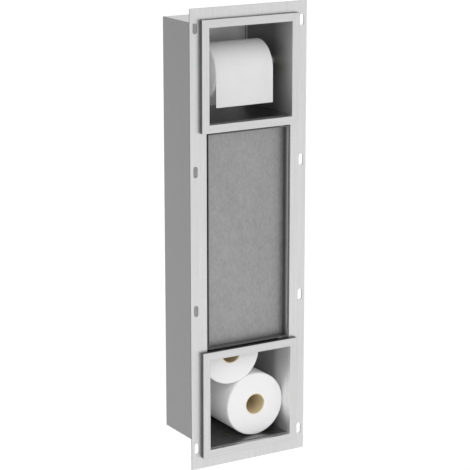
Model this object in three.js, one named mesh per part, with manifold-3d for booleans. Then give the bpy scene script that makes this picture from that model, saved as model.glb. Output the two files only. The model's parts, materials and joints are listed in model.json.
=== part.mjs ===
// A recessed toilet paper holder in brushed stainless sheet, as a tall box that is let into the wall.
// From the top: an open niche with a sprung roller and a roll in use, a tile-in door on a pivot hinge with a
// push latch, and an open mouth at the foot of the storage shaft, where the spare rolls are taken out.
// Millimetres. X to the right, Y into the wall, Z up. The origin is the middle of the flange's back face,
// which lies on the wall.
import * as THREE from 'three';
import { mergeVertices } from 'three/addons/utils/BufferGeometryUtils.js';
import Module from 'manifold-3d';

const wasm = await Module();
wasm.setup();

// ---------- driving dimensions ----------
const frameSide = 150; // outside of one square tile frame
const stackHeight = 600; // from the lower frame's bottom edge to the upper frame's top edge
const frameBand = 11; // width of a frame's front face
const frameRise = 6; // how far a frame stands out of the flange, as much as a wall tile
const sheet = 1.2; // every sheet-metal wall
const flangeMargin = 15; // flange beyond the frames, all round
const boxDepth = 114.5; // from the wall plane to the box's outer back
const backReturn = 5; // folded edge of the back panel

const slotWidth = 6.5; // wall screw slots in the flange
const slotLength = 15.5;
const slotEdge = 7.8; // slot centre to the flange's side edge
const slotTopEnd = 25.7; // uppermost slot centre below the flange's top end
const slotPitch = 190; // between the upper three rows of slots
const slotBottomEnd = 29.5; // lowest slot centre above the flange's bottom end

const doorGap = 2.3; // between the door and the edge of its bay
const doorDepth = 13.2; // depth of the door's tile tray
const doorPivotInset = 11; // pivot axis to the door's hinge-side face
const doorPivotSet = 3.8; // pivot axis behind the door's front rim

const rodRadius = 8; // roller, outer sleeve
const rodSet = 46.8; // roller axis behind the wall plane
const rodDrop = 59.6; // roller axis below the niche ceiling
const rodSleeveEnd = 22; // end of the outer sleeve, right of the middle
const rodInnerStart = -22; // end of the inner sleeve inside the outer one
const tipRadius = 3;
const tipLength = 4;
const socketRadius = 8;
const socketThickness = 4.8;

const rollLength = 88;
const coreInner = 13.8; // inside radius of a cardboard core
const coreWall = 1.2;
const usedRadius = 36.6; // winding of the roll in use
const spareRadius = 44.5;
const tailThickness = 0.6; // hanging end of the paper
const tailDrop = 44.3; // its length below the roller's roll axis

const latchWidth = 11.5;
const latchHeight = 14;
const latchBelowFloor = 34.7; // plunger axis below the niche floor's underside
const latchFromWall = 7.3; // plunger axis to the side panel
const plungerRadius = 3;
const plungerTravel = 3;
const plungerGuide = 20; // plunger inside the latch body at rest
const latchSpringRoom = 8; // room left for the latch spring when the plunger is pushed in
const latchEndWall = 5;
const strikeThickness = 1;

const bayLipEnd = 2; // the bay's folded lips end this far from the right side panel, clear of the hinges
const bayLipFoot = 7; // height of a lip's foot, which is welded behind the flange

const pinRadius = 1.5;
const bracketThickness = 1.5;
const washerThickness = 0.4;

// ---------- clearances ----------
const slip = 0.3; // pieces that move past or rest on each other
const weld = 0.1; // sheets that are welded face to face
const runFit = 0.15; // radial play of the hinge pins
const pressFit = 0.02; // radial play of a pin that is pressed into its bracket

// ---------- derived places ----------
const boxInnerHalf = frameSide / 2 - frameBand;
const boxOuterHalf = boxInnerHalf + sheet;
const stackHalf = stackHeight / 2;
const frameCentre = stackHalf - frameSide / 2;
const bayHalf = stackHalf - frameSide; // the door's bay lies between the two frames
const ceiling = stackHalf - frameBand;
const nicheFloor = frameCentre - boxInnerHalf + sheet; // one sheet above the frame's inner edge
const storeFloor = -ceiling + sheet;
const backInner = boxDepth - sheet;
const flangeFront = -sheet;
const frameFront = flangeFront - frameRise;
const cutHalf = boxOuterHalf + weld; // the box seats in the flange's cut-outs

const doorHalfWidth = cutHalf - doorGap;
const doorHalfHeight = bayHalf - doorGap;
const doorBack = flangeFront + doorDepth;
const pivotX = doorHalfWidth - doorPivotInset;
const pivotY = flangeFront + doorPivotSet;

const rodZ = ceiling - rodDrop;
const coreOuter = coreInner + coreWall;
const rollZ = rodZ - (coreInner - rodRadius - slip); // the core hangs on the roller
const spareFront = doorBack + 0.8;
const spareLowX = boxInnerHalf - spareRadius - slip;
const spareLowZ = storeFloor + spareRadius + slip;
const spareHighX = -spareLowX;
const spareSpan = 2 * spareRadius + slip;
const spareHighZ = spareLowZ + Math.sqrt(spareSpan ** 2 - (spareLowX - spareHighX) ** 2);

const latchZ = nicheFloor - sheet - latchBelowFloor;
const latchX = -boxInnerHalf + latchFromWall;

// ---------- finishes ----------
const finish = (color, roughness, metalness) => ({ color, roughness, metalness });
const brushedSteel = finish(0xc9c9c9, 0.38, 0.9);
const plainSteel = finish(0xa9abad, 0.3, 1);
const chromedSteel = finish(0xd6d8da, 0.12, 1);
const springSteel = finish(0x8c8f92, 0.35, 1);
const greyPlastic = finish(0x6f7173, 0.55, 0);
const whiteNylon = finish(0xe6e4de, 0.5, 0);
const tissue = finish(0xf1f1f0, 0.95, 0);
const cardboard = finish(0x9a8a68, 0.9, 0);

const holder = new THREE.Group();

function add(name, geometry, look, group = holder) {
  const mesh = new THREE.Mesh(geometry, new THREE.MeshStandardMaterial(look));
  mesh.name = name;
  group.add(mesh);
  return mesh;
}

// ---------- shape helpers ----------
// A box between two corners.
function block(low, high) {
  const size = high.map((value, axis) => value - low[axis]);
  const middle = high.map((value, axis) => (value + low[axis]) / 2);
  return new THREE.BoxGeometry(...size).translate(...middle);
}

// A solid of revolution about the Z axis, from [radius, height] points in anticlockwise order.
function turned(points, segments = 24) {
  const profile = points.map(([radius, height]) => new THREE.Vector2(radius, height));
  return new THREE.LatheGeometry(profile, segments).rotateX(Math.PI / 2);
}

function ring(outer, inner, length, segments) {
  const profile = [[inner, 0], [outer, 0], [outer, length], [inner, length], [inner, 0]];
  return turned(profile, segments);
}

function rod(radius, length, segments) {
  return turned([[0, 0], [radius, 0], [radius, length], [0, length]], segments);
}

// Turns a shape that lies along Z so that it lies along X or Y, starting at the origin.
const alongX = (geometry) => geometry.rotateY(Math.PI / 2);
const alongY = (geometry) => geometry.rotateX(-Math.PI / 2);

// A wire wound about the Z axis.
function coil(radius, wire, turns, length) {
  const points = [];
  const stepsPerTurn = 8;
  const steps = turns * stepsPerTurn;
  for (let i = 0; i <= steps; i += 1) {
    const angle = (i / stepsPerTurn) * 2 * Math.PI;
    const height = wire + (i / steps) * (length - 2 * wire);
    points.push(new THREE.Vector3(radius * Math.cos(angle), radius * Math.sin(angle), height));
  }
  const section = new THREE.Shape();
  section.absarc(0, 0, wire, 0, 2 * Math.PI, false);
  const path = new THREE.CatmullRomCurve3(points);
  return new THREE.ExtrudeGeometry(section, { steps, curveSegments: 3, extrudePath: path });
}

function toSolid(geometry) {
  const bare = geometry.clone();
  bare.deleteAttribute('normal');
  bare.deleteAttribute('uv');
  const merged = mergeVertices(bare, 1e-4);
  return new wasm.Manifold(new wasm.Mesh({
    numProp: 3,
    vertProperties: new Float32Array(merged.attributes.position.array),
    triVerts: new Uint32Array(merged.index.array),
  }));
}

function toGeometry(solid) {
  const mesh = solid.getMesh();
  const geometry = new THREE.BufferGeometry();
  geometry.setAttribute('position', new THREE.BufferAttribute(mesh.vertProperties, 3));
  geometry.setIndex(new THREE.BufferAttribute(mesh.triVerts, 1));
  const flat = geometry.toNonIndexed();
  flat.computeVertexNormals();
  return flat;
}

// Joins the first list of shapes and cuts the second list out of them.
function built(joined, cut = []) {
  let solid = toSolid(joined[0]);
  for (const shape of joined.slice(1)) solid = solid.add(toSolid(shape));
  for (const shape of cut) solid = solid.subtract(toSolid(shape));
  return toGeometry(solid);
}

// A rectangle outline about a centre, as a THREE.Shape or as a hole for one.
function rectangle(Kind, halfWidth, low, high) {
  const outline = new Kind();
  outline.moveTo(-halfWidth, low);
  outline.lineTo(halfWidth, low);
  outline.lineTo(halfWidth, high);
  outline.lineTo(-halfWidth, high);
  outline.closePath();
  return outline;
}

// An upright plate from an outline in X and Z, between two depths in Y.
function plate(outline, front, back) {
  const settings = { depth: back - front, bevelEnabled: false, curveSegments: 6 };
  const geometry = new THREE.ExtrudeGeometry(outline, settings);
  return geometry.rotateX(Math.PI / 2).translate(0, back, 0);
}

// ---------- mounting flange ----------
function slotOutline(x, z) {
  const radius = slotWidth / 2;
  const straight = (slotLength - slotWidth) / 2;
  const outline = new THREE.Path();
  outline.absarc(x, z + straight, radius, 0, Math.PI, false);
  outline.absarc(x, z - straight, radius, Math.PI, 2 * Math.PI, false);
  outline.closePath();
  return outline;
}

function mountingFlange() {
  const halfWidth = frameSide / 2 + flangeMargin;
  const halfHeight = stackHalf + flangeMargin;
  const outline = rectangle(THREE.Shape, halfWidth, -halfHeight, halfHeight);
  const nicheLow = frameCentre - cutHalf;
  const nicheHigh = frameCentre + cutHalf;
  outline.holes.push(rectangle(THREE.Path, cutHalf, nicheLow, nicheHigh));
  outline.holes.push(rectangle(THREE.Path, cutHalf, -bayHalf, bayHalf));
  outline.holes.push(rectangle(THREE.Path, cutHalf, -nicheHigh, -nicheLow));
  const rows = [0, 1, 2].map((row) => halfHeight - slotTopEnd - row * slotPitch);
  rows.push(-halfHeight + slotBottomEnd);
  for (const z of rows) {
    for (const side of [-1, 1]) outline.holes.push(slotOutline(side * (halfWidth - slotEdge), z));
  }
  return plate(outline, flangeFront, 0);
}
add('mounting_flange', mountingFlange(), brushedSteel);

// ---------- tile frames: a folded channel, open to the back, with a skirt that seats in the flange ------
function tileFrame() {
  const half = frameSide / 2;
  const square = (Kind, side) => rectangle(Kind, side, -side, side);
  const front = square(THREE.Shape, half);
  front.holes.push(square(THREE.Path, boxInnerHalf));
  const hollow = square(THREE.Shape, half - sheet);
  hollow.holes.push(square(THREE.Path, boxOuterHalf));
  const skirt = square(THREE.Shape, boxOuterHalf);
  skirt.holes.push(square(THREE.Path, boxInnerHalf));
  return built(
    [plate(front, frameFront, flangeFront), plate(skirt, flangeFront, -weld)],
    [plate(hollow, frameFront + sheet, 0)],
  );
}
add('upper_frame', tileFrame(), brushedSteel).position.set(0, 0, frameCentre);
add('lower_frame', tileFrame(), brushedSteel).position.set(0, 0, -frameCentre);

// ---------- box ----------
const rivetRadius = 1.6;
const rivetX = boxInnerHalf; // the hinge rivets go through the right side panel
const rivetY = 7;
const rivetRise = 5.2; // above or below the bay's end

const rivetHole = (side, radius) => alongX(rod(radius, 6, 16))
  .translate(rivetX - 3, rivetY, side * (bayHalf + rivetRise));

const panelLow = storeFloor - sheet;
const panelHigh = ceiling + sheet;
add('left_side_panel', block(
  [-boxOuterHalf, 0, panelLow],
  [-boxInnerHalf, boxDepth, panelHigh],
), brushedSteel);
add('right_side_panel', built(
  [block([boxInnerHalf, 0, panelLow], [boxOuterHalf, boxDepth, panelHigh])],
  [rivetHole(1, rivetRadius + runFit), rivetHole(-1, rivetRadius + runFit)],
), brushedSteel);

const innerWeld = boxInnerHalf - weld;
add('top_panel', block([-innerWeld, 0, ceiling], [innerWeld, boxDepth, panelHigh]), brushedSteel);
add('bottom_panel', block([-innerWeld, 0, panelLow], [innerWeld, boxDepth, storeFloor]), brushedSteel);

function backPanel() {
  const low = storeFloor + weld;
  const high = ceiling - weld;
  const returnFront = backInner - backReturn;
  return built(
    [block([-innerWeld, returnFront, low], [innerWeld, boxDepth, high])],
    [block([-innerWeld + sheet, returnFront - 1, low - 1], [innerWeld - sheet, backInner, high + 1])],
  );
}
add('back_panel', backPanel(), brushedSteel);

// The niche floor has a front lip folded down behind the flange and clears the back panel's folded edges.
function nicheFloorPanel() {
  const top = nicheFloor;
  const lip = 7;
  const notch = (side) => {
    const edges = [side * (innerWeld - sheet - weld), side * (boxOuterHalf + 1)].sort((a, b) => a - b);
    return block([edges[0], backInner - backReturn - weld, top - 20], [edges[1], boxDepth, top + 1]);
  };
  return built(
    [
      block([-innerWeld, weld, top - sheet], [innerWeld, backInner - weld, top]),
      block([-innerWeld + 22, 2.2, top - sheet - lip], [innerWeld - 22, 2.2 + sheet, top - sheet / 2]),
    ],
    [notch(-1), notch(1)],
  );
}
add('niche_floor', nicheFloorPanel(), brushedSteel);

// ---------- door: a tray that takes a tile, on a pivot at its top and bottom right ----------
function doorTray() {
  const hole = (side) => rod(pinRadius + runFit, 4, 16)
    .translate(pivotX, pivotY, side * (doorHalfHeight - sheet / 2) - 2);
  const shell = block(
    [-doorHalfWidth, flangeFront, -doorHalfHeight],
    [doorHalfWidth, doorBack, doorHalfHeight],
  );
  const recess = block(
    [-doorHalfWidth + sheet, flangeFront - 1, -doorHalfHeight + sheet],
    [doorHalfWidth - sheet, doorBack - sheet, doorHalfHeight - sheet],
  );
  return built([shell], [recess, hole(1), hole(-1)]);
}
add('door_tray', doorTray(), brushedSteel);

// Above and below the door: a folded lip that closes the view into the shaft, and the hinge, which is a
// bracket on the side panel, its pin, a washer and a rivet.
function bayLip() {
  const left = -boxInnerHalf + slip;
  const depth = boxInnerHalf - bayLipEnd - left;
  const footBack = weld + sheet;
  const section = new THREE.Shape([
    [weld, bayHalf], [doorBack, bayHalf], [doorBack, bayHalf + sheet],
    [footBack, bayHalf + sheet], [footBack, bayHalf + bayLipFoot], [weld, bayHalf + bayLipFoot],
  ].map(([y, z]) => new THREE.Vector2(y, z)));
  const strip = new THREE.ExtrudeGeometry(section, { depth, bevelEnabled: false });
  return strip.rotateX(Math.PI / 2).rotateZ(Math.PI / 2).translate(left, 0, 0);
}
const leafFar = bayHalf - 0.1; // leaf face away from the door
const leafNear = leafFar - bracketThickness;
function hingeBracket() {
  const wallX = boxInnerHalf - weld;
  const leafBack = doorBack - 1;
  return built(
    [
      block([pivotX - 5, slip, leafNear], [wallX, leafBack, leafFar]),
      block([wallX - bracketThickness, 2.4, leafNear], [wallX, leafBack, bayHalf + 9.5]),
    ],
    [
      rod(pinRadius + pressFit, 6, 16).translate(pivotX, pivotY, leafNear - 2),
      rivetHole(1, rivetRadius + runFit),
    ],
  );
}
const hingePin = () => rod(pinRadius, leafFar - doorHalfHeight + sheet, 16)
  .translate(pivotX, pivotY, doorHalfHeight - sheet);
const hingeWasher = () => ring(3.4, pinRadius + runFit, washerThickness, 20)
  .translate(pivotX, pivotY, doorHalfHeight + (leafNear - doorHalfHeight - washerThickness) / 2);
function hingeRivet() {
  const wallX = boxInnerHalf - weld - bracketThickness;
  const profile = [[0, -1], [2, -0.8], [2.9, -weld], [rivetRadius, -weld], [rivetRadius, 3.2], [0, 3.2]];
  return alongX(turned(profile, 16)).translate(wallX, rivetY, bayHalf + rivetRise);
}
for (const [where, side] of [['upper', 1], ['lower', -1]]) {
  const hinge = new THREE.Group();
  hinge.scale.z = side; // the lower set is the mirror of the upper one
  add(`bay_lip_${where}`, bayLip(), brushedSteel, hinge);
  add(`hinge_bracket_${where}`, hingeBracket(), plainSteel, hinge);
  add(`hinge_pin_${where}`, hingePin(), plainSteel, hinge);
  add(`hinge_washer_${where}`, hingeWasher(), whiteNylon, hinge);
  add(`hinge_rivet_${where}`, hingeRivet(), plainSteel, hinge);
  holder.add(hinge);
}

// ---------- push latch behind the door's free edge ----------
const strikeBack = doorBack + weld + strikeThickness;
const latchFront = strikeBack + 2;
const plateTop = latchZ - latchHeight / 2 - weld;
const boreRadius = plungerRadius + slip;
const plungerTip = strikeBack + slip;
const plungerBack = latchFront + plungerGuide;
const boreBack = plungerBack + plungerTravel + latchSpringRoom;
const latchBack = boreBack + latchEndWall;
const latchScrewPlaces = [latchFront + 6, latchBack - 6];

add('strike_plate', block(
  [latchX - 6, doorBack + weld, latchZ - 8],
  [latchX + 6, strikeBack, latchZ + 8],
), plainSteel);

const latchScrewX = latchX + 3.4;
const latchScrewHole = (radius, y) => rod(radius, 12, 12).translate(latchScrewX, y, plateTop - 8);
function latchBracket() {
  const wallX = -boxInnerHalf + weld;
  const low = plateTop - sheet;
  return built(
    [
      block([wallX, latchFront, low], [wallX + sheet, latchBack, latchZ + latchHeight / 2]),
      block([wallX, latchFront, low], [latchX + latchWidth / 2, latchBack, plateTop]),
    ],
    latchScrewPlaces.map((y) => latchScrewHole(1.5, y)),
  );
}
add('latch_bracket', latchBracket(), brushedSteel);

function latchBody() {
  const left = -boxInnerHalf + sheet + 2 * weld;
  const bore = alongY(rod(boreRadius, boreBack - latchFront + 1, 24));
  bore.translate(latchX, latchFront - 1, latchZ);
  return built(
    [block(
      [left, latchFront, latchZ - latchHeight / 2],
      [latchX + latchWidth / 2, latchBack, latchZ + latchHeight / 2],
    )],
    [bore, ...latchScrewPlaces.map((y) => latchScrewHole(1.3, y).translate(0, 0, -1.2))],
  );
}
add('latch_body', latchBody(), greyPlastic);

const plungerLength = plungerBack - plungerTip;
add('latch_plunger', alongY(turned([
  [0, 0], [plungerRadius - 1, 0], [plungerRadius, 1], [plungerRadius, plungerLength], [0, plungerLength],
], 24)).translate(latchX, plungerTip, latchZ), whiteNylon);

const latchSpringLength = boreBack - plungerBack - 2 * slip;
add('latch_spring', alongY(coil(plungerRadius - 0.8, 0.4, 5, latchSpringLength))
  .translate(latchX, plungerBack + slip, latchZ), springSteel);

for (const [index, y] of latchScrewPlaces.entries()) {
  const profile = [[0, -1.6], [2, -1.6], [2.4, -1.2], [2.4, -weld], [1.1, -weld], [1.1, 3.2], [0, 3.2]];
  const screw = turned(profile, 16).translate(latchScrewX, y, plateTop - sheet);
  add(`latch_screw_${index + 1}`, screw, plainSteel);
}

// ---------- sprung roller across the niche ----------
const socketFace = boxInnerHalf - weld - socketThickness;
const shoulder = socketFace - slip; // where a sleeve's shoulder meets its socket
const tipHole = tipRadius + slip;
const sleeveBore = rodRadius - 1.2;
const innerRadius = sleeveBore - slip;
const innerBore = innerRadius - 1.2;

const rollerLine = new THREE.Group();
rollerLine.position.set(0, rodSet, rodZ);
holder.add(rollerLine);

// A disc on the side panel with a blind hole for the sleeve's tip, drawn for the right side.
function rodSocket() {
  const depth = tipLength + 0.2;
  const profile = [
    [tipHole, 0], [socketRadius - 0.8, 0], [socketRadius, 0.8], [socketRadius, socketThickness],
    [0, socketThickness], [0, depth], [tipHole, depth], [tipHole, 0],
  ];
  return alongX(turned(profile, 28)).translate(socketFace, 0, 0);
}
add('rod_socket_right', rodSocket(), brushedSteel, rollerLine);
add('rod_socket_left', rodSocket(), brushedSteel, rollerLine).rotation.z = Math.PI;

// Each sleeve is a tube with one closed end and a tip; lengths run from the sleeve's shoulder.
function sleeve(outer, bore, length) {
  const cap = 2;
  return turned([
    [0, -tipLength], [tipRadius - 0.5, -tipLength], [tipRadius, -tipLength + 0.5], [tipRadius, 0],
    [outer - 0.8, 0], [outer, 0.8], [outer, length], [bore, length], [bore, cap], [0, cap],
  ], 32);
}
add('rod_outer_sleeve', alongX(sleeve(rodRadius, sleeveBore, shoulder + rodSleeveEnd))
  .translate(-shoulder, 0, 0), chromedSteel, rollerLine);
add('rod_inner_sleeve', alongX(sleeve(innerRadius, innerBore, shoulder - rodInnerStart))
  .translate(-shoulder, 0, 0), chromedSteel, rollerLine).rotation.z = Math.PI;

const springRoom = 2 * shoulder - 4; // between the two closed ends
const springLength = springRoom - 2 * slip;
add('rod_spring', alongX(coil(innerBore - 1.2, 0.6, 12, springLength))
  .translate(-springLength / 2, 0, 0), springSteel, rollerLine);

// ---------- roll in use, with its hanging end ----------
const usedRoll = new THREE.Group();
usedRoll.position.set(0, rodSet, rollZ);
holder.add(usedRoll);

function rollPieces(prefix, radius, group, turn) {
  const winding = ring(radius, coreOuter + slip, rollLength, 48);
  const core = ring(coreOuter, coreInner, rollLength, 32);
  add(`${prefix}_paper`, turn(winding), tissue, group);
  add(`${prefix}_core`, turn(core), cardboard, group);
}
rollPieces('roll', usedRadius, usedRoll, (shape) => alongX(shape).translate(-rollLength / 2, 0, 0));

const tailBack = -usedRadius - slip;
add('paper_tail', block(
  [-rollLength / 2, tailBack - tailThickness, -tailDrop],
  [rollLength / 2, tailBack, 0],
), tissue, usedRoll);

// ---------- spare rolls, end on, at the foot of the shaft ----------
const sparePlaces = [['spare_roll_1', spareLowX, spareLowZ], ['spare_roll_2', spareHighX, spareHighZ]];
for (const [prefix, x, z] of sparePlaces) {
  const spare = new THREE.Group();
  spare.position.set(x, spareFront, z);
  rollPieces(prefix, spareRadius, spare, alongY);
  holder.add(spare);
}

export default holder;
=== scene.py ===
"""A recessed toilet paper holder in brushed stainless sheet: an open niche with a roll on a sprung roller,
a tile-in door over the storage shaft, and an open mouth below with the spare rolls."""

import json
import math
import random

import bpy
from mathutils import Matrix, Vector


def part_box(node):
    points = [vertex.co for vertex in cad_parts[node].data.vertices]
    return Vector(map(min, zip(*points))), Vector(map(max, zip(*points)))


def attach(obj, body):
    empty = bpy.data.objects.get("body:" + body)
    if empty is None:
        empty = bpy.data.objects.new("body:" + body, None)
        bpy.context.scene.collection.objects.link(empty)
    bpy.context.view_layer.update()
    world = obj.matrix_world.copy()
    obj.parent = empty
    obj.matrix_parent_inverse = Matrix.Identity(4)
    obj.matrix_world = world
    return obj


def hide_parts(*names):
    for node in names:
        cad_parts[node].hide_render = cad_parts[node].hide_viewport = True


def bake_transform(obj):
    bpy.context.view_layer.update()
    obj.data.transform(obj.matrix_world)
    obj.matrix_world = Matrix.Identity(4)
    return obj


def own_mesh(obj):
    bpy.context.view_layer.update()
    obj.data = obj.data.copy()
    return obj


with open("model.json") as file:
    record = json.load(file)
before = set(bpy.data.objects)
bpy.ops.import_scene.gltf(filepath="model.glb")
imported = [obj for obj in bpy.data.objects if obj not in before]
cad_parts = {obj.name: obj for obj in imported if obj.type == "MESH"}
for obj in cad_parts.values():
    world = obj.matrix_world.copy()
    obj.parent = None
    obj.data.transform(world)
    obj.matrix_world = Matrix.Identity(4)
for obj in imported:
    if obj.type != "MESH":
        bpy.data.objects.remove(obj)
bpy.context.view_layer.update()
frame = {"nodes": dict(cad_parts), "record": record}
nodes = frame["nodes"]
scene = bpy.context.scene
MM = 0.001


# ---------- camera ----------
CAMERA_AIM = Vector((-21.6, -1.2, 6.8)) * MM
CAMERA_AZIMUTH, CAMERA_ELEVATION = math.radians(-31.0), math.radians(14.1)
CAMERA_DISTANCE = 2618.8 * MM
CAMERA_LENS, CAMERA_SENSOR = 149.7, 36
CAMERA_REACH = 1000  # metres, so that the far edge of the floor isn't cut off


def place_camera():
    level = math.cos(CAMERA_ELEVATION)
    right, forward = math.sin(CAMERA_AZIMUTH) * level, -math.cos(CAMERA_AZIMUTH) * level
    back = Vector((right, forward, math.sin(CAMERA_ELEVATION)))
    data = bpy.data.cameras.new("camera")
    data.lens = CAMERA_LENS
    data.sensor_width = CAMERA_SENSOR
    data.clip_end = CAMERA_REACH
    camera = bpy.data.objects.new("camera", data)
    scene.collection.objects.link(camera)
    camera.location = CAMERA_AIM + back * CAMERA_DISTANCE
    camera.rotation_euler = (-back).to_track_quat("-Z", "Y").to_euler()
    scene.camera = camera


place_camera()
scene.view_settings.view_transform = "Standard"


# ---------- node helpers ----------
class Shader:
    """A material under construction: node() adds a node and links what is passed by socket name."""

    def __init__(self, name):
        self.material = bpy.data.materials.new(name)
        self.material.use_nodes = True
        self.tree = self.material.node_tree
        self.surface = self.tree.nodes["Principled BSDF"]

    def node(self, kind, inputs=None, **settings):
        made = self.tree.nodes.new(kind)
        for key, value in settings.items():
            setattr(made, key, value)
        for key, value in (inputs or {}).items():
            self.feed(made.inputs[key], value)
        return made

    def feed(self, socket, value):
        if isinstance(value, bpy.types.NodeSocket):
            self.tree.links.new(value, socket)
        else:
            socket.default_value = value

    def set(self, **values):
        for key, value in values.items():
            self.feed(self.surface.inputs[key.replace("_", " ")], value)

    def place(self, scale=(1, 1, 1), centre=(0, 0, 0), turn=(0, 0, 0)):
        """Object coordinates measured from a centre, turned and scaled."""
        where = self.node("ShaderNodeTexCoord").outputs["Object"]
        moved = self.node("ShaderNodeVectorMath", {0: where, 1: centre}, operation="SUBTRACT").outputs[0]
        return self.node("ShaderNodeMapping", {"Vector": moved, "Rotation": turn, "Scale": scale}).outputs[0]

    def noise(self, scale, vector, detail=2.0, rough=0.5):
        inputs = {"Vector": vector, "Scale": scale, "Detail": detail, "Roughness": rough}
        return self.node("ShaderNodeTexNoise", inputs).outputs["Fac"]

    def span(self, value, low, high, start=0.0, end=1.0):
        inputs = {"Value": value, "From Min": start, "From Max": end, "To Min": low, "To Max": high}
        return self.node("ShaderNodeMapRange", inputs).outputs["Result"]

    def math(self, operation, *values):
        made = self.node("ShaderNodeMath", operation=operation)
        for index, value in enumerate(values):
            self.feed(made.inputs[index], value)
        return made.outputs[0]

    def mixed(self, first, share, second, other):
        """first * share + second * other, where each share is a number or a socket"""
        return self.math("ADD", self.math("MULTIPLY", first, share), self.math("MULTIPLY", second, other))

    def tint(self, factor, dark, light):
        made = self.node("ShaderNodeMix", data_type="RGBA")
        self.feed(made.inputs["Factor"], factor)
        for socket, colour in (("A", dark), ("B", light)):
            linked = isinstance(colour, bpy.types.NodeSocket)
            self.feed(made.inputs[socket], colour if linked else (*colour, 1))
        return made.outputs["Result"]

    def bump(self, height, strength, distance):
        inputs = {"Height": height, "Strength": strength, "Distance": distance}
        self.feed(self.surface.inputs["Normal"], self.node("ShaderNodeBump", inputs).outputs[0])


def grey(value):
    return (value, value, value)


# ---------- materials ----------
ALONG_X, ALONG_Y, ALONG_Z, NO_GRAIN = (0.02, 1, 1), (1, 0.02, 1), (1, 1, 0.02), (1, 1, 1)
FINE_GRAIN, BROAD_GRAIN = 2600, 520  # noise scales of the grain lines and of the streaks under them
BRIGHTEST_STEEL = 0.88
MITRE_BLEND = 0.0002  # metres either side of a mitre over which the grain turns
LIP_FADE = 0.04  # metres behind the wall plane over which the painted highlight on a front edge fades


def brush_marks(shader, grain):
    """Fine grain lines over broader streaks, both along the axis whose grain scale is small."""
    fine = shader.noise(FINE_GRAIN, shader.place(grain), detail=3, rough=0.6)
    broad = shader.noise(BROAD_GRAIN, shader.place(grain), detail=2)
    return shader.mixed(fine, 0.6, broad, 0.4)


def brushed_finish(shader, colour, roughness, lines):
    shader.set(Base_Color=colour, Metallic=1.0, Roughness=roughness, Anisotropic=0.35)
    shader.bump(lines, 0.12, 0.00004)


def steel_surface(shader, lines, value, spread, roughness):
    """Grain lines over a slow drift in tone, from value - spread to value + spread."""
    drift = shader.noise(9, shader.place(), detail=3)
    shade = shader.span(shader.mixed(lines, 0.75, drift, 0.25), 0.0, 1.0, 0.36, 0.64)
    colour = shader.tint(shade, grey(value - spread), grey(value + spread))
    brushed_finish(shader, colour, shader.span(shade, *roughness), lines)


def brushed_steel(name, value, grain=ALONG_Z, roughness=(0.3, 0.42), spread=0.05):
    """Stainless sheet with a fine grain: the lines run along the axis whose grain scale is small."""
    shader = Shader(name)
    steel_surface(shader, brush_marks(shader, grain), value, spread, roughness)
    return shader.material


def lit_and_shaded_steel(name, axis, first, last, grain=ALONG_Z, roughness=(0.34, 0.44), lip=1.0):
    """Steel in painted shade, growing darker along an axis: first and last are (place in metres, value).

    lip is how much brighter a painted highlight makes it at the front edge, fading over LIP_FADE."""
    shader = Shader(name)
    parts = shader.node("ShaderNodeSeparateXYZ", {"Vector": shader.place()})
    lines = brush_marks(shader, grain)
    # painted shade: the value runs from first to last along the axis
    value = shader.span(parts.outputs[axis], first[1], last[1], first[0], last[0])
    # painted highlight: brighter at the front edge, fading behind the wall plane
    painted_highlight = shader.span(parts.outputs["Y"], lip, 1.0, 0.0, LIP_FADE)
    highlighted = shader.math("MULTIPLY", value, painted_highlight)
    lined = shader.math("MULTIPLY", highlighted, shader.span(lines, 0.92, 1.08))
    shade = shader.math("MINIMUM", lined, BRIGHTEST_STEEL)
    colour = shader.node("ShaderNodeCombineColor", {0: shade, 1: shade, 2: shade}).outputs[0]
    brushed_finish(shader, colour, shader.span(lines, *roughness, 0.3, 0.7), lines)
    return shader.material


def keyed_steel(name, value, spread, roughness):
    """The door's plate, keyed for tile adhesive: a mottled scour with faint wiping marks."""
    shader = Shader(name)
    blotches = shader.noise(75, shader.place(), detail=5, rough=0.62)
    scour = shader.noise(420, shader.place((1, 1, 0.45)), detail=4, rough=0.6)
    wiped = shader.noise(26, shader.place((1, 1, 0.3)), detail=2)
    worked = shader.mixed(blotches, 0.25, scour, 0.55)
    marks = shader.math("ADD", worked, shader.math("MULTIPLY", wiped, 0.2))
    shade = shader.span(marks, 0.0, 1.0, 0.38, 0.62)
    shader.set(
        Base_Color=shader.tint(shade, grey(value - spread), grey(value + spread)),
        Metallic=1.0,
        Roughness=shader.span(shade, *roughness),
    )
    shader.bump(scour, 0.2, 0.00006)
    return shader.material


def mitred_steel(name, value, centre):
    """A trim frame of four strips: the grain runs along each strip and turns at the dressed mitres."""
    shader = Shader(name)
    parts = shader.node("ShaderNodeSeparateXYZ", {"Vector": shader.place(centre=centre)})
    across, up = (shader.math("ABSOLUTE", parts.outputs[axis]) for axis in ("X", "Z"))
    lead = shader.math("SUBTRACT", across, up)
    upright = shader.span(lead, 0.0, 1.0, -MITRE_BLEND, MITRE_BLEND)
    level = shader.math("SUBTRACT", 1.0, upright)
    level_lines = brush_marks(shader, ALONG_X)
    upright_lines = brush_marks(shader, ALONG_Z)
    lines = shader.mixed(upright_lines, upright, level_lines, level)
    steel_surface(shader, lines, value, 0.05, (0.3, 0.42))
    return shader.material


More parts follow.
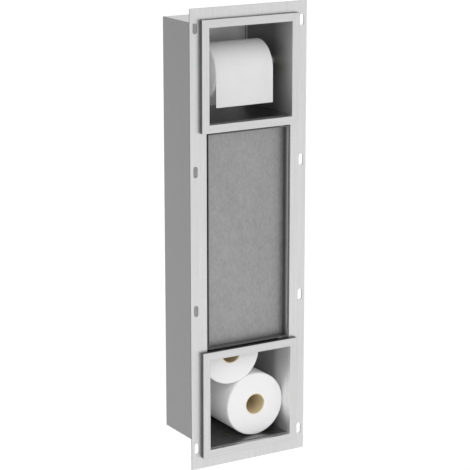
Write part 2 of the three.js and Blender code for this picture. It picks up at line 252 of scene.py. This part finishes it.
STEEL_FRONT = brushed_steel("brushed steel, flange", 0.64)
# painted shade: the box's outer sides are darker than its ends and the flange for how the light falls on
# them
STEEL_OUTSIDE = brushed_steel("steel in painted shade, outside of the box", 0.31, ALONG_Z, (0.4, 0.5), 0.02)
STEEL_TOP = brushed_steel("brushed steel, ends of the box", 0.68, ALONG_Y)
# painted light: the left wall and ceiling inside are a brighter copy of the brushed steel, for the light
# inside the niche
STEEL_INSIDE = brushed_steel("brushed steel, inside of the box", 0.92, ALONG_Z, (0.26, 0.36))
# painted shade: the floors are a darker copy of the brushed steel, for the shade and dark reflections on
# them
STEEL_FLOOR = brushed_steel("brushed steel, floors", 0.24, ALONG_X, (0.26, 0.36))
# painted light: the back is a brighter copy of the brushed steel
STEEL_BACK = brushed_steel("brushed steel, back", 0.93, ALONG_X, (0.42, 0.58), 0.06)
STEEL_DOOR_AND_FOLD_SHADE = keyed_steel("keyed steel, door plate", 0.33, 0.04, (0.46, 0.54))
# painted shade: the tray's walls and rims, and the lips and brackets in the gaps, are given a near-black
# steel for the shade there
STEEL_RIM = brushed_steel("dark steel in painted shade, tray walls", 0.16, NO_GRAIN, (0.4, 0.5), 0.02)
# partly the darker sheared edge, partly painted shade: it darkens cut edges in the gaps and the trim frames'
# outer walls
STEEL_CUT_AND_SHADE = brushed_steel("sheared steel edge and painted shade", 0.13, ALONG_Y, (0.4, 0.55), 0.04)
STEEL_PLAIN = brushed_steel("plain stamped steel", 0.5, NO_GRAIN, (0.3, 0.45))
# painted shade and highlight: the shaft wall grows darker towards the top, and its front edge is painted
# brighter
STEEL_SHAFT = lit_and_shaded_steel(
    "brushed steel in painted light and shade, shaft wall", "Z", (-0.15, 0.6), (0.16, 0.22), roughness=(0.46, 0.56), lip=2.4
)
# painted light and shade: the tray wall by the hinge is bright at its front and dark a few millimetres in
STEEL_HINGE_WALL = lit_and_shaded_steel(
    "steel in painted light and shade, tray wall by the hinge", "Y", (-0.001, 0.75), (0.005, 0.15), NO_GRAIN
)


def polished_chrome():
    shader = Shader("polished chrome")
    haze = shader.noise(60, shader.place(ALONG_X), detail=2)
    shader.set(
        Base_Color=shader.tint(haze, grey(0.68), grey(0.74)),
        Metallic=1.0,
        Roughness=shader.span(haze, 0.07, 0.14),
    )
    return shader.material


def drawn_wire():
    shader = Shader("drawn spring wire")
    streaks = shader.noise(900, shader.place(), detail=2)
    shader.set(
        Base_Color=shader.tint(streaks, grey(0.34), grey(0.46)),
        Metallic=1.0,
        Roughness=shader.span(streaks, 0.28, 0.42),
    )
    shader.bump(streaks, 0.1, 0.00005)
    return shader.material


def moulded(name, dark, light, roughness):
    shader = Shader(name)
    grain = shader.noise(1400, shader.place(), detail=2)
    shader.set(Base_Color=shader.tint(grain, dark, light), Roughness=shader.span(grain, *roughness))
    shader.bump(grain, 0.15, 0.00005)
    return shader.material


def soft_paper(name, centre, dark, light):
    """Creped tissue: fine fibres and a faint crepe across the sheet."""
    shader = Shader(name)
    fibre = shader.noise(2200, shader.place(centre=centre), detail=3)
    crepe = shader.noise(700, shader.place((1, 0.25, 0.25), centre), detail=2)
    cloud = shader.noise(28, shader.place(centre=centre), detail=2)
    shader.set(
        Base_Color=shader.tint(shader.mixed(fibre, 0.4, cloud, 0.6), grey(dark), grey(light)),
        Roughness=shader.span(fibre, 0.86, 0.98),
        Sheen_Weight=0.1,
        Sheen_Roughness=0.6,
    )
    shader.bump(shader.math("ADD", fibre, crepe), 0.22, 0.00012)
    return shader.material


LAYER_RATE, LAYER_WANDER = 9000.0, 9.0  # radians of ring pattern for each metre, and their drift


def wound_edge(name, centre, across, dark, light):
    """The end of a roll: the edges of its layers as fine rings round the core."""
    shader = Shader(name)
    spot = shader.place(across, centre)
    radius = shader.node("ShaderNodeVectorMath", {0: spot}, operation="LENGTH").outputs["Value"]
    wander = shader.noise(40, spot, detail=2)
    layers = shader.math("SINE", shader.mixed(radius, LAYER_RATE, wander, LAYER_WANDER))
    fibre = shader.noise(1800, shader.place(centre=centre), detail=3)
    shade = shader.math("ADD", shader.span(layers, 0.2, 0.8, -1, 1), shader.math("MULTIPLY", fibre, 0.3))
    shader.set(
        Base_Color=shader.tint(shade, grey(dark), grey(light)),
        Roughness=shader.span(fibre, 0.9, 1.0),
    )
    shader.bump(shade, 0.2, 0.0001)
    return shader.material


STRIP_WIDTH = 0.045  # metres of core for each turn of its board strip


def core_board(name, centre, axis):
    """Grey-brown board wound in a spiral strip, with the strip's seam."""
    shader = Shader(name)
    turn = (0, math.pi / 2, 0) if axis == "X" else (math.pi / 2, 0, 0)
    spot = shader.place(centre=centre, turn=turn)
    parts = shader.node("ShaderNodeSeparateXYZ", {"Vector": spot})
    angle = shader.math("ARCTAN2", parts.outputs["Y"], parts.outputs["X"])
    climb = shader.math("MULTIPLY", parts.outputs["Z"], 2 * math.pi / STRIP_WIDTH)
    phase = shader.math("COSINE", shader.math("ADD", angle, climb))
    seam = shader.math("MULTIPLY", shader.span(phase, 0.0, 1.0, 0.985, 1.0), 0.6)
    fibre = shader.noise(900, spot, detail=4)
    board = shader.tint(fibre, (0.6, 0.5, 0.31), (0.8, 0.68, 0.45))
    shader.set(
        Base_Color=shader.tint(seam, board, (0.28, 0.22, 0.13)),
        Roughness=shader.span(fibre, 0.8, 0.95),
    )
    shader.bump(fibre, 0.25, 0.0001)
    return shader.material


CHROME = polished_chrome()
WIRE = drawn_wire()
GREY_PLASTIC = moulded("grey moulded plastic", grey(0.16), grey(0.2), (0.42, 0.55))
NYLON = moulded("white nylon", (0.74, 0.73, 0.7), (0.82, 0.81, 0.78), (0.35, 0.5))


# ---------- making pieces ----------
WELD = 1e-6  # metres within which corners are one


def only(piece):
    bpy.ops.object.select_all(action="DESELECT")
    piece.select_set(True)
    bpy.context.view_layer.objects.active = piece


def edit(piece, select="SELECT"):
    only(piece)
    bpy.ops.object.mode_set(mode="EDIT")
    bpy.ops.mesh.select_mode(type="VERT")
    bpy.ops.mesh.select_all(action=select)


def done():
    bpy.ops.object.mode_set(mode="OBJECT")


def choose_edges(piece, wanted):
    """In edit mode, selects just the edges for which wanted(corner, corner) is true."""
    bpy.ops.mesh.select_all(action="DESELECT")
    bpy.ops.mesh.select_mode(type="EDGE")
    bpy.ops.object.mode_set(mode="OBJECT")
    mesh = piece.data
    for edge in mesh.edges:
        edge.select = wanted(*(mesh.vertices[index].co for index in edge.vertices))
    bpy.ops.object.mode_set(mode="EDIT")


def modify(piece, kind, **settings):
    only(piece)
    modifier = piece.modifiers.new(kind.lower(), kind)
    for key, value in settings.items():
        setattr(modifier, key, value)
    bpy.ops.object.modifier_apply(modifier=modifier.name)


def smooth(piece, angle):
    only(piece)
    bpy.ops.object.shade_smooth_by_angle(angle=math.radians(angle))


def soften(piece, width):
    fold = math.radians(30)
    modify(piece, "BEVEL", width=width, segments=2, limit_method="ANGLE", angle_limit=fold)
    smooth(piece, 35)
    modify(piece, "WEIGHTED_NORMAL", keep_sharp=True, weight=100)


BODY_OF = {node: body for body, names in frame["record"]["behaviour"]["bodies"].items() for node in names}


def finish_piece(piece, node, word, materials):
    """Names the piece after the node that it stands for, freezes its place and hands it to its body."""
    only(piece)
    bpy.ops.object.transform_apply(location=True, rotation=True, scale=True)
    piece.name = piece.data.name = f"{node}_{word}"
    piece.data.materials.clear()
    for material in materials:
        piece.data.materials.append(material)
    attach(piece, BODY_OF[node])
    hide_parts(node)
    return piece


def paint(piece, choose):
    """Gives each face the material whose number choose(normal, centre) returns."""
    for face in piece.data.polygons:
        face.material_index = choose(face.normal, face.center)


def middle(node):
    low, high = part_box(node)
    return (low + high) / 2


def span(node, axis):
    low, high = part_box(node)
    return low["XYZ".index(axis)], high["XYZ".index(axis)]


def size(node, axis):
    low, high = span(node, axis)
    return (high - low) / MM


# ---------- sheet metal ----------
SEAM_EDGE = 0.06  # millimetres: edges that meet another sheet are only deburred
CORNER_ROUND, FOLD_ROUND = 1.4, 0.8  # millimetres, of a trim frame
RIM_WIDTH, RIM_DEPTH = 1.3, 1.0  # millimetres, of the door tray's folded rim
ON_EDGE = 0.01 * MM  # a corner this near to an edge is on it


def faces_front(normal):
    return normal.y < -0.3


def merged_copy(node):
    """The node's own shape, with its triangles joined to flat faces."""
    piece = bpy.data.objects.new(node, nodes[node].data.copy())
    scene.collection.objects.link(piece)
    edit(piece)
    bpy.ops.mesh.remove_doubles(threshold=WELD)
    bpy.ops.mesh.dissolve_limited(angle_limit=math.radians(0.5))
    done()
    return piece


def folded_copy(node, materials, round_edge, choose=None):
    """The node's shape with its edges rounded; choose says which material each face has."""
    piece = merged_copy(node)
    soften(piece, round_edge * MM)
    finish_piece(piece, node, "sheet", materials)
    if choose:
        paint(piece, choose)


def front_or_cut(normal, centre):
    """0 the flat faces, 1 the sheared edges."""
    return 0 if abs(normal.y) > 0.5 else 1


def make_flange():
    folded_copy("mounting_flange", [STEEL_FRONT, STEEL_CUT_AND_SHADE], 0.2, front_or_cut)


def make_trim_frame(node):
    """The frame's outer edge is folded over a small radius, and its corners are dressed round."""
    piece = merged_copy(node)
    centre = middle(node)
    half = size(node, "X") / 2 * MM
    front = span(node, "Y")[0]

    def reach(place):
        return abs(place.x), abs(place.z - centre.z)

    def corner_edge(a, b):
        at_corner = all(min(reach(end)) > half - ON_EDGE for end in (a, b))
        return at_corner and abs(a.y - b.y) > ON_EDGE

    def front_edge(a, b):
        return all(max(reach(end)) > half - ON_EDGE and abs(end.y - front) < ON_EDGE for end in (a, b))

    edit(piece)
    choose_edges(piece, corner_edge)
    bpy.ops.mesh.bevel(offset=CORNER_ROUND * MM, segments=4, affect="EDGES")
    choose_edges(piece, front_edge)
    bpy.ops.mesh.bevel(offset=FOLD_ROUND * MM, segments=4, affect="EDGES")
    done()
    soften(piece, SEAM_EDGE * MM)
    face_steel = mitred_steel(f"brushed steel, {node.replace('_', ' ')}", 0.62, (0, 0, centre.z))
    finish_piece(piece, node, "sheet", [face_steel, STEEL_CUT_AND_SHADE, STEEL_DOOR_AND_FOLD_SHADE, STEEL_SHAFT])

    def frame_side(normal, place):
        """0 the face, 1 the outer walls in painted shade, 2 the folded edge painted darker as a shade line,
        3 the inner wall on the hinge's side, in the shaft wall's painted shade.
        """
        # painted shade: the outer walls and the folded edge take darker steels than the face
        if max(reach(place)) > half - FOLD_ROUND * MM:
            if abs(normal.y) < 0.35:
                return 1
            return 2 if abs(normal.y) < 0.9 else 0
        return 3 if normal.x < -0.5 and place.x > 0 else 0

    paint(piece, frame_side)


def panel_side(normal, centre):
    """0 outside, 1 inside, 2 the sheared front edge."""
    if faces_front(normal):
        return 2
    inward = normal.x * centre.x < -1e-6
    return 1 if inward and abs(normal.x) > 0.5 else 0


def ceiling_side(normal, centre):
    """0 outside, 1 inside, 2 the sheared front edge."""
    return 2 if faces_front(normal) else int(normal.z < -0.5)


def floor_side(normal, centre):
    """0 outside, 1 inside, 2 the sheared front edge."""
    return 2 if faces_front(normal) else int(normal.z > 0.5)


def shelf_side(normal, centre):
    """0 the shelf, 1 its front."""
    return int(faces_front(normal))


def back_side(normal, centre):
    """0 inside, 1 outside, 2 the folded returns, in the shaft wall's painted shade."""
    return 2 if abs(normal.x) > 0.5 else int(normal.y > 0.5)


def make_box():
    folded_copy("left_side_panel", [STEEL_OUTSIDE, STEEL_INSIDE, STEEL_CUT_AND_SHADE], SEAM_EDGE, panel_side)
    folded_copy("right_side_panel", [STEEL_OUTSIDE, STEEL_SHAFT, STEEL_CUT_AND_SHADE], SEAM_EDGE, panel_side)
    folded_copy("top_panel", [STEEL_TOP, STEEL_INSIDE, STEEL_CUT_AND_SHADE], SEAM_EDGE, ceiling_side)
    folded_copy("bottom_panel", [STEEL_TOP, STEEL_FLOOR, STEEL_CUT_AND_SHADE], SEAM_EDGE, floor_side)
    folded_copy("back_panel", [STEEL_BACK, STEEL_OUTSIDE, STEEL_SHAFT], 0.3, back_side)
    folded_copy("niche_floor", [STEEL_FLOOR, STEEL_CUT_AND_SHADE], SEAM_EDGE, shelf_side)


def tray_side(normal, centre):
    """0 the plate and back, 1 the rims and inner walls in painted shade, 2 the inner wall by the hinge in
    painted light and shade, 3 the rim there, in the flange's brighter steel as painted light.
    """
    low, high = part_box("door_tray")
    if faces_front(normal) and centre.y < low.y + RIM_DEPTH * MM:
        return 3 if centre.x > high.x - RIM_WIDTH * MM else 1
    inward = normal.x * centre.x + normal.z * centre.z <= -1e-6
    if abs(normal.y) >= 0.5 or not inward:
        return 0
    return 2 if normal.x < -0.5 else 1


def make_small_sheet_parts():
    folded_copy("door_tray", [STEEL_DOOR_AND_FOLD_SHADE, STEEL_RIM, STEEL_HINGE_WALL, STEEL_FRONT], 0.15, tray_side)
    # painted shade: the lips and hinge brackets take the tray walls' dark steel
    for node in ("bay_lip_upper", "bay_lip_lower", "hinge_bracket_upper", "hinge_bracket_lower"):
        folded_copy(node, [STEEL_RIM], 0.2)
    folded_copy("latch_bracket", [STEEL_PLAIN], 0.2)
    folded_copy("strike_plate", [STEEL_PLAIN], 0.15)
    folded_copy("latch_body", [GREY_PLASTIC], 0.4)


make_flange()
make_trim_frame("upper_frame")
make_trim_frame("lower_frame")
make_box()
make_small_sheet_parts()


# ---------- turned pieces ----------
AXIS = {"X": Vector((1, 0, 0)), "Y": Vector((0, 1, 0)), "Z": Vector((0, 0, 1))}


def turned(profile, axis, origin, steps, direction=1):
    """A chain of points (radius, along), in millimetres, spun about an axis through origin."""
    along = AXIS[axis] * direction
    out = Vector((1, 0, 0)) if axis == "Z" else Vector((0, 0, 1))
    points = [origin + out * (radius * MM) + along * (place * MM) for radius, place in profile]
    bpy.ops.object.select_all(action="DESELECT")
    bpy.ops.mesh.primitive_plane_add(size=MM, location=(0, 0, 0))
    piece = bpy.context.object
    bpy.ops.object.mode_set(mode="EDIT")
    bpy.ops.mesh.select_mode(type="VERT")
    bpy.ops.mesh.select_all(action="SELECT")
    bpy.ops.mesh.merge(type="CENTER")
    bpy.ops.transform.translate(value=points[0])
    for before, after in zip(points, points[1:]):
        bpy.ops.mesh.extrude_vertices_move(TRANSFORM_OT_translate={"value": after - before})
    bpy.ops.mesh.select_all(action="SELECT")
    bpy.ops.mesh.spin(steps=steps, angle=2 * math.pi, center=origin, axis=along)
    bpy.ops.mesh.select_all(action="SELECT")
    bpy.ops.mesh.remove_doubles(threshold=WELD)
    bpy.ops.mesh.normals_make_consistent(inside=False)
    done()
    smooth(piece, 32)
    return piece


def rounding(radius, place, curve, start, end, steps=4):
    """Points of a corner of radius curve about (radius, place), between two angles in degrees."""
    angles = [math.radians(start + (end - start) * step / steps) for step in range(steps + 1)]
    return [(radius + curve * math.cos(angle), place + curve * math.sin(angle)) for angle in angles]


ROLLER_LINE = middle("rod_outer_sleeve")
TIP_RADIUS, TIP_LENGTH, TIP_PLAY = 3.0, 4.0, 0.3
TIP_ROUND, SHOULDER_ROUND, CUP_ROUND = 0.8, 0.8, 1.2
SLEEVE_WALL, SLEEVE_END = 1.2, 2.0  # the drawn tube's wall, and how thick its closed end is
COUNTERSINK, HOLE_END = 0.5, 0.2  # the hole is HOLE_END deeper than the tip is long
COIL_STEPS = 20  # faces along each turn of a spring


def make_socket(node, side):
    """A cup with a blind hole for the roller's tip; its mouth is countersunk."""
    radius, depth = size(node, "Z") / 2, size(node, "X")
    mouth = Vector((span(node, "X")[0 if side > 0 else 1], ROLLER_LINE.y, ROLLER_LINE.z))
    hole = TIP_RADIUS + TIP_PLAY
    hole_depth = TIP_LENGTH + HOLE_END
    profile = [(0, hole_depth), (hole, hole_depth), (hole, COUNTERSINK), (hole + COUNTERSINK, 0)]
    profile += rounding(radius - CUP_ROUND, CUP_ROUND, CUP_ROUND, -90, 0, 6)
    profile += [(radius, depth), (0, depth)]
    finish_piece(turned(profile, "X", mouth, 72, side), node, "cup", [STEEL_PLAIN])


def make_sleeve(node, side):
    """A drawn tube with one closed, shouldered end and a turned tip; the open end is rolled smooth."""
    radius = size(node, "Z") / 2
    low, high = span(node, "X")
    tip = Vector((low if side > 0 else high, ROLLER_LINE.y, ROLLER_LINE.z))
    length = (high - low) / MM
    profile = [(0, 0)] + rounding(TIP_RADIUS - TIP_ROUND, TIP_ROUND, TIP_ROUND, -90, 0)
    profile += [(TIP_RADIUS, TIP_LENGTH)]
    profile += rounding(radius - SHOULDER_ROUND, TIP_LENGTH + SHOULDER_ROUND, SHOULDER_ROUND, -90, 0)
    rolled = SLEEVE_WALL / 2
    profile += rounding(radius - rolled, length - rolled, rolled, 0, 180, 6)
    profile += [(radius - SLEEVE_WALL, TIP_LENGTH + SLEEVE_END), (0, TIP_LENGTH + SLEEVE_END)]
    finish_piece(turned(profile, "X", tip, 96, side), node, "tube", [CHROME])


def make_coil(node, axis, wire, turns):
    """A wire of radius wire, in millimetres, wound about an axis and closed flat at its ends."""
    across = "Z" if axis != "Z" else "X"
    radius = size(node, across) / 2 - wire
    low, high = span(node, axis)
    centre = middle(node)
    pitch = (high - low - 2 * wire * MM) / turns
    start = centre.copy()
    start["XYZ".index(axis)] = low + wire * MM
    upright = (math.pi / 2, 0, 0)
    bpy.ops.object.select_all(action="DESELECT")
    bpy.ops.mesh.primitive_circle_add(
        vertices=10, radius=wire * MM, location=(radius * MM, 0, 0), rotation=upright
    )
    piece = bpy.context.object
    bpy.ops.object.transform_apply(location=True, rotation=True, scale=True)
    modify(
        piece,
        "SCREW",
        angle=2 * math.pi,
        screw_offset=pitch,
        iterations=turns,
        axis="Z",
        steps=COIL_STEPS,
        render_steps=COIL_STEPS,
        use_merge_vertices=False,
        use_normal_calculate=True,
    )
    edit(piece, "DESELECT")
    bpy.ops.mesh.select_mode(type="EDGE")
    bpy.ops.mesh.select_non_manifold(extend=False)
    bpy.ops.mesh.edge_face_add()
    bpy.ops.mesh.select_all(action="SELECT")
    bpy.ops.mesh.remove_doubles(threshold=WELD / 10)
    bpy.ops.mesh.normals_make_consistent(inside=False)
    done()
    piece.rotation_euler = {"X": (0, math.pi / 2, 0), "Y": (-math.pi / 2, 0, 0), "Z": (0, 0, 0)}[axis]
    piece.location = start
    smooth(piece, 50)
    return finish_piece(piece, node, "coil", [WIRE])


def make_roller():
    make_socket("rod_socket_left", -1)
    make_socket("rod_socket_right", 1)
    make_sleeve("rod_outer_sleeve", 1)
    make_sleeve("rod_inner_sleeve", -1)
    coil = make_coil("rod_spring", "X", wire=0.6, turns=12)
    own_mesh(coil)


make_roller()


PIN_ROUND, PIN_CHAMFER = 0.4, 0.2
WASHER_PLAY, WASHER_ROUND = 0.15, 0.12
RIVET_SHANK, RIVET_DOME, RIVET_CHAMFER = 1.6, 0.9, 0.15


def make_hinge(where, side):
    """Pin, washer and rivet of one hinge; side is 1 above the door and -1 below it."""
    pin, washer, rivet = (f"hinge_{kind}_{where}" for kind in ("pin", "washer", "rivet"))
    radius, length = size(pin, "X") / 2, size(pin, "Z")
    foot = middle(pin)
    foot.z = span(pin, "Z")[0 if side > 0 else 1]
    profile = [(0, 0)] + rounding(radius - PIN_ROUND, PIN_ROUND, PIN_ROUND, -90, 0)
    profile += [(radius, length - PIN_CHAMFER), (radius - PIN_CHAMFER, length), (0, length)]
    finish_piece(turned(profile, "Z", foot, 40, side), pin, "turned", [STEEL_PLAIN])

    outer, thickness = size(washer, "X") / 2, size(washer, "Z")
    bore = radius + WASHER_PLAY
    foot = middle(washer)
    foot.z = span(washer, "Z")[0]
    profile = [(bore, 0)] + rounding(outer - WASHER_ROUND, WASHER_ROUND, WASHER_ROUND, -90, 0, 3)
    profile += rounding(outer - WASHER_ROUND, thickness - WASHER_ROUND, WASHER_ROUND, 0, 90, 3)
    profile += [(bore, thickness), (bore, 0)]
    finish_piece(turned(profile, "Z", foot, 48), washer, "ring", [NYLON])

    head, length = size(rivet, "Z") / 2, size(rivet, "X")
    foot = middle(rivet)
    foot.x = span(rivet, "X")[0]
    angles = [math.radians(angle) for angle in range(0, 91, 15)]
    profile = [(head * math.sin(angle), RIVET_DOME - RIVET_DOME * math.cos(angle)) for angle in angles]
    profile += [(RIVET_SHANK, RIVET_DOME), (RIVET_SHANK, length - RIVET_CHAMFER)]
    profile += [(RIVET_SHANK - RIVET_CHAMFER, length), (0, length)]
    finish_piece(turned(profile, "X", foot, 40), rivet, "dome", [STEEL_PLAIN])


make_hinge("upper", 1)
make_hinge("lower", -1)


PLUNGER_ROUND, PLUNGER_CHAMFER = 1.3, 0.3
SCREW_ROUND, SCREW_HEAD, SCREW_SHANK, SCREW_POINT, POINT_LENGTH = 0.6, 1.5, 1.1, 0.5, 0.6
SLOT_CUTTER = (2.6, 0.6, 1.4)


def make_latch():
    """Plunger, spring and screws of the push latch."""
    node = "latch_plunger"
    radius, length = size(node, "Z") / 2, size(node, "Y")
    tip = middle(node)
    tip.y = span(node, "Y")[0]
    profile = [(0, 0)] + rounding(radius - PLUNGER_ROUND, PLUNGER_ROUND, PLUNGER_ROUND, -90, 0, 6)
    profile += [(radius, length - PLUNGER_CHAMFER), (radius - PLUNGER_CHAMFER, length), (0, length)]
    finish_piece(turned(profile, "Y", tip, 48), node, "turned", [NYLON])

    node = "latch_spring"
    coil = make_coil(node, "Y", wire=0.4, turns=5)
    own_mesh(coil)

    for node in ("latch_screw_1", "latch_screw_2"):
        head, length = size(node, "X") / 2, size(node, "Z")
        foot = middle(node)
        foot.z = span(node, "Z")[0]
        profile = [(0, 0)] + rounding(head - SCREW_ROUND, SCREW_ROUND, SCREW_ROUND, -90, 0)
        profile += [(head, SCREW_HEAD), (SCREW_SHANK, SCREW_HEAD)]
        profile += [(SCREW_SHANK, length - POINT_LENGTH), (SCREW_POINT, length), (0, length)]
        screw = turned(profile, "Z", foot, 40)
        for turn in (0, math.pi / 2):
            cut_slot(screw, foot, turn)
        finish_piece(screw, node, "screw", [STEEL_PLAIN])


def cut_slot(screw, foot, turn):
    """Half of the cross recess in a screw's head."""
    bpy.ops.object.select_all(action="DESELECT")
    bpy.ops.mesh.primitive_cube_add(size=1, location=foot, rotation=(0, 0, turn))
    cutter = bpy.context.object
    cutter.scale = [side * MM for side in SLOT_CUTTER]
    bpy.context.view_layer.update()
    modify(screw, "BOOLEAN", operation="DIFFERENCE", object=cutter, solver="EXACT")
    bpy.data.objects.remove(cutter)


make_latch()


# ---------- paper ----------
ROLL_ROUND, ROLL_RIPPLES, RIPPLE, ROLL_ROWS = 1.6, 9, 0.12, 12
CORE_WALL, CORE_ROUND, CORE_PLAY = 1.2, 0.2, 0.05
# painted light and shade: one tissue in a darker and a lighter range, and a darker range for the spare
# rolls' ends
SHADED_TISSUE, LIT_TISSUE = (0.82, 0.9), (0.9, 0.96)
SHADED_EDGE = (0.74, 0.82)


def winding_profile(inner, outer, length):
    """A closed section of a wound roll, with rounded outer corners and faint steps across its ends."""
    points = [(inner, 0.0)]
    for step in range(1, ROLL_RIPPLES + 1):
        share = step / (ROLL_RIPPLES + 1)
        points.append((inner + share * (outer - inner - ROLL_ROUND), -RIPPLE if step % 2 else 0.0))
    points += rounding(outer - ROLL_ROUND, ROLL_ROUND, ROLL_ROUND, -90, 0, 5)
    straight = length - 2 * ROLL_ROUND
    wall = [(outer, ROLL_ROUND + straight * row / ROLL_ROWS) for row in range(1, ROLL_ROWS)]
    far = [(radius, length - place) for radius, place in reversed(points)]
    return points + wall + far + [points[0]]


def core_profile(inner, outer, length):
    """A closed section of the core, with its four edges broken."""
    near = [(inner, CORE_ROUND), (inner + CORE_ROUND, 0), (outer - CORE_ROUND, 0), (outer, CORE_ROUND)]
    far = [(radius, length - place) for radius, place in reversed(near)]
    return near + far + [near[0]]


def make_roll(prefix, axis, side_tones, edge_tones):
    paper, core = prefix + "_paper", prefix + "_core"
    centre = middle(paper)
    start = centre.copy()
    start["XYZ".index(axis)] = span(paper, axis)[0]
    radius, length = size(paper, "Z") / 2, size(paper, axis)
    core_radius = size(core, "Z") / 2

    winding = turned(winding_profile(core_radius + CORE_PLAY, radius, length), axis, start, 128)
    across = (0, 1, 1) if axis == "X" else (1, 0, 1)
    sides = [
        soft_paper(prefix + " tissue", centre, *side_tones),
        wound_edge(prefix + " layer edges", centre, across, *edge_tones),
    ]
    finish_piece(winding, paper, "winding", sides)
    paint(winding, lambda normal, place: int(abs(normal["XYZ".index(axis)]) > 0.7))

    tube = turned(core_profile(core_radius - CORE_WALL, core_radius, length), axis, start, 96)
    finish_piece(tube, core, "tube", [core_board(prefix + " core board", centre, axis)])


make_roll("roll", "X", SHADED_TISSUE, LIT_TISSUE)
make_roll("spare_roll_1", "Y", LIT_TISSUE, SHADED_EDGE)
make_roll("spare_roll_2", "Y", LIT_TISSUE, SHADED_EDGE)


WRAP = math.radians(150)  # how far round the roll the last sheet lies
SHEET_COLUMNS, SHEET_ROWS = 56, 140
SHEET_THICKNESS, SHEET_LIFT = 0.25, 0.35  # millimetres, and how far its middle is off the roll


def hanging_sheet():
    """The free end: it lies over the top of the roll and hangs down in front, to its torn perforation."""
    low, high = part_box("paper_tail")
    centre = middle("roll_paper")
    hug = (span("roll_paper", "Z")[1] - centre.z) + SHEET_LIFT * MM
    width, drop = high.x - low.x, centre.z - low.z
    wound = hug * WRAP
    length = wound + drop
    bpy.ops.object.select_all(action="DESELECT")
    bpy.ops.mesh.primitive_grid_add(
        x_subdivisions=SHEET_COLUMNS, y_subdivisions=SHEET_ROWS, size=1, location=(0, 0, 0)
    )
    piece = bpy.context.object
    random.seed(4)
    broad, narrow = (random.uniform(0, 2 * math.pi) for _ in range(2))
    for vertex in piece.data.vertices:
        across = vertex.co.x
        run = (0.5 - vertex.co.y) * length
        if run < wound:
            angle = WRAP - run / hug
            y = centre.y - hug * math.cos(angle)
            z = centre.z + hug * math.sin(angle)
        else:
            hang = run - wound
            share = hang / drop
            sway = 0.25 * math.sin(across * 5 + broad) + 0.15 * math.sin(across * 11 + narrow)
            y = centre.y - hug - share * share * (0.3 + sway) * MM
            z = centre.z - hang
        vertex.co = (centre.x + across * width, y, z)
    modify(piece, "SOLIDIFY", thickness=SHEET_THICKNESS * MM, offset=0)
    smooth(piece, 40)
    piece.name = piece.data.name = "hanging_sheet"
    # painted shade: the hanging sheet is the roll's tissue at darker values
    piece.data.materials.append(soft_paper("hanging tissue", centre, 0.62, 0.71))
    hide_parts("paper_tail")
    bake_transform(piece)


hanging_sheet()


# ---------- studio ----------
FLOOR_DROP, FLOOR_SIZE, FLOOR_GLOW = 1.4, 1200, 0.2  # metres, metres, emission
SOFT_BOXES = (  # direction, strength, cosines of the full and of the outer edge
    ((0.6, -0.8, 0.1), 0.44, 0.9, 0.3),
    ((-0.7, -0.6, 0.5), 0.7, 0.9, 0.3),
    ((0.5, 0.83, 0.3), 0.68, 0.92, 0.6),
    ((-0.1, -0.6, 1.0), 0.58, 0.9, 0.2),
)
SOFT_BASE = 0.17


def make_floor():
    shader = Shader("pale floor")
    cloud = shader.noise(0.4, shader.place(), detail=1)
    shader.set(
        Base_Color=shader.tint(cloud, grey(0.93), grey(0.95)),
        Roughness=0.9,
        Emission_Color=(1, 1, 1, 1),
        Emission_Strength=FLOOR_GLOW,
    )
    bpy.ops.object.select_all(action="DESELECT")
    bpy.ops.mesh.primitive_plane_add(size=FLOOR_SIZE, location=(0, 0, -FLOOR_DROP))
    floor = bpy.context.object
    floor.name = "floor"
    floor.data.materials.append(shader.material)


def make_soft_light():
    """An even room with broad soft boxes, as directions in the world's own shader."""
    world = bpy.data.worlds.new("studio")
    scene.world = world
    world.use_nodes = True
    tree = world.node_tree
    where = tree.nodes.new("ShaderNodeTexCoord").outputs["Generated"]
    total = None
    for direction, strength, full, edge in SOFT_BOXES:
        facing = tree.nodes.new("ShaderNodeVectorMath")
        facing.operation = "DOT_PRODUCT"
        tree.links.new(where, facing.inputs[0])
        facing.inputs[1].default_value = Vector(direction).normalized()
        ramp = tree.nodes.new("ShaderNodeMapRange")
        ramp.interpolation_type = "SMOOTHSTEP"
        tree.links.new(facing.outputs["Value"], ramp.inputs["Value"])
        ramp.inputs["From Min"].default_value = edge
        ramp.inputs["From Max"].default_value = full
        ramp.inputs["To Max"].default_value = strength
        both = tree.nodes.new("ShaderNodeMath")
        both.operation = "ADD"
        tree.links.new(ramp.outputs["Result"], both.inputs[0])
        if total is None:
            both.inputs[1].default_value = SOFT_BASE
        else:
            tree.links.new(total, both.inputs[1])
        total = both.outputs[0]
    background = tree.nodes["Background"]
    tree.links.new(total, background.inputs["Strength"])
    background.inputs["Color"].default_value = (1, 1, 1, 1)


make_floor()
make_soft_light()
